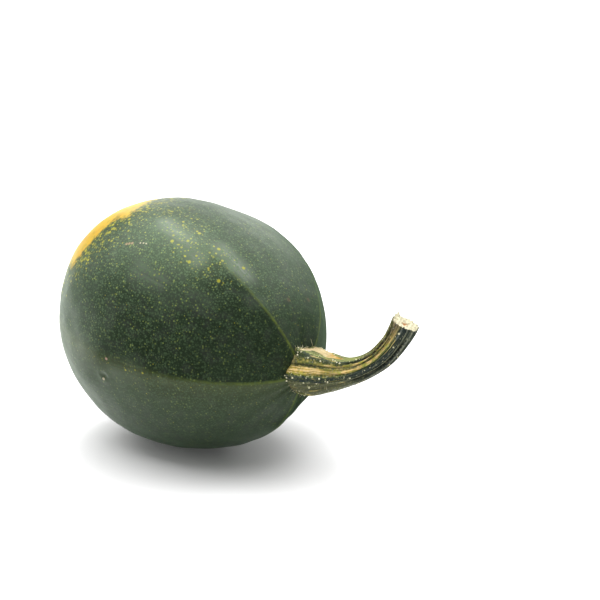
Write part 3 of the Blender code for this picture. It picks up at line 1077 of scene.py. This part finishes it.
def tubercle_material():
    material, tree, shader = new_material("stem_tubercle")
    place = add_node(tree, "TexCoord").outputs["Object"]
    colour = tint(tree, TUBERCLE_PALE, noise(tree, place, 900.0), 0.35, 0.70, 1.0, TUBERCLE_OLIVE)
    tree.links.new(colour, shader.inputs["Base Color"])
    set_inputs(shader, Roughness=0.55)
    return material


# Stage

def make_floor():
    mesh = bpy.data.meshes.new("floor")
    corners = [(across * FLOOR_REACH, along * FLOOR_REACH, FLOOR_LEVEL)
               for across, along in ((-1, -1), (1, -1), (1, 1), (-1, 1))]
    mesh.from_pydata(corners, [], [(0, 1, 2, 3)])
    material, _, shader = new_material("floor")
    set_inputs(shader, Base_Color=(FLOOR_ALBEDO, FLOOR_ALBEDO, FLOOR_ALBEDO, 1.0), Emission_Color=WHITE,
               Emission_Strength=FLOOR_GLOW, Roughness=0.9, Specular_IOR_Level=0.2)
    mesh.materials.append(material)
    add_object("floor", mesh)


def camera_axes():
    """Right, up and back directions of the camera."""
    away = Vector((sin(CAMERA_TURN), -cos(CAMERA_TURN), 0.0))
    right = Vector((cos(CAMERA_TURN), sin(CAMERA_TURN), 0.0))
    up = Vector((0.0, 0.0, 1.0))
    back = away * cos(CAMERA_ELEVATION) + up * sin(CAMERA_ELEVATION)
    return right, up * cos(CAMERA_ELEVATION) - away * sin(CAMERA_ELEVATION), back


def level_axes():
    """Level directions to the camera's right and away from it."""
    right, _, back = camera_axes()
    return right, Vector((-back.x, -back.y, 0.0)).normalized()


def make_camera():
    right, up, back = camera_axes()
    data = bpy.data.cameras.new("camera")
    data.lens = LENS
    data.sensor_width = SENSOR
    data.clip_start = 0.05
    data.clip_end = 50.0
    camera = add_object("camera", data)
    turn = Matrix((right, up, back)).transposed().to_4x4()
    place = Vector(MIDDLE) + right * CAMERA_RIGHT + up * CAMERA_UP + back * CAMERA_DISTANCE
    camera.matrix_world = Matrix.Translation(place) @ turn
    bpy.context.scene.camera = camera


def add_softbox(name, right, ahead, height, width, depth, radiance):
    """A rectangular light that faces the fruit. right and ahead are as the camera sees them."""
    rightward, forward = level_axes()
    place = rightward * right + forward * ahead + Vector((0.0, 0.0, height))
    data = bpy.data.lights.new(name, "AREA")
    data.shape = "RECTANGLE"
    data.size = width
    data.size_y = depth
    data.energy = radiance * pi * width * depth
    light = add_object(name, data)
    aim = (Vector(MIDDLE) - place).normalized()
    light.matrix_world = Matrix.Translation(place) @ (-aim).to_track_quat("Z", "Y").to_matrix().to_4x4()
    light.visible_camera = False


def make_dark_screen(name, start, end, foot_radius, top_radius, height):
    """A dark bank that slopes up round the fruit between two turns, seen only in its reflections."""
    right, forward = level_axes()
    corners = []
    for turn in np.linspace(start, end, SCREEN_POSTS):
        direction = right * sin(radians(turn)) + forward * cos(radians(turn))
        rise = smooth_step(turn, start, start + SCREEN_TAPER)
        fall = smooth_step(turn, end - SCREEN_TAPER, end)
        slope = direction * (top_radius - foot_radius) + Vector((0.0, 0.0, height))
        foot = direction * foot_radius
        corners += [foot, foot + slope * float(rise * (1.0 - fall))]
    faces = [(post, post + 2, post + 3, post + 1) for post in range(0, 2 * SCREEN_POSTS - 2, 2)]
    mesh = bpy.data.meshes.new(name)
    mesh.from_pydata(corners, [], faces)
    material, _, shader = new_material(name)
    set_inputs(shader, Base_Color=SCREEN_COLOUR)
    mesh.materials.append(material)
    screen = add_object(name, mesh)
    screen.visible_camera = False
    screen.visible_diffuse = False
    screen.visible_shadow = False


def make_light():
    for name, values in SOFTBOXES.items():
        add_softbox(name, *values)
    for name, values in DARK_SCREENS.items():
        make_dark_screen(name, *values)
    world = bpy.data.worlds.new("studio")
    world.use_nodes = True
    background = world.node_tree.nodes["Background"]
    set_inputs(background, Color=WHITE, Strength=WORLD_LIGHT)
    bpy.context.scene.world = world
    bpy.context.scene.view_settings.view_transform = "Standard"


def main():
    make_camera()
    make_light()
    make_floor()
    make_fruit(skin_material())
    make_stem(rind_material())
    make_tubercles(tubercle_material())


main()
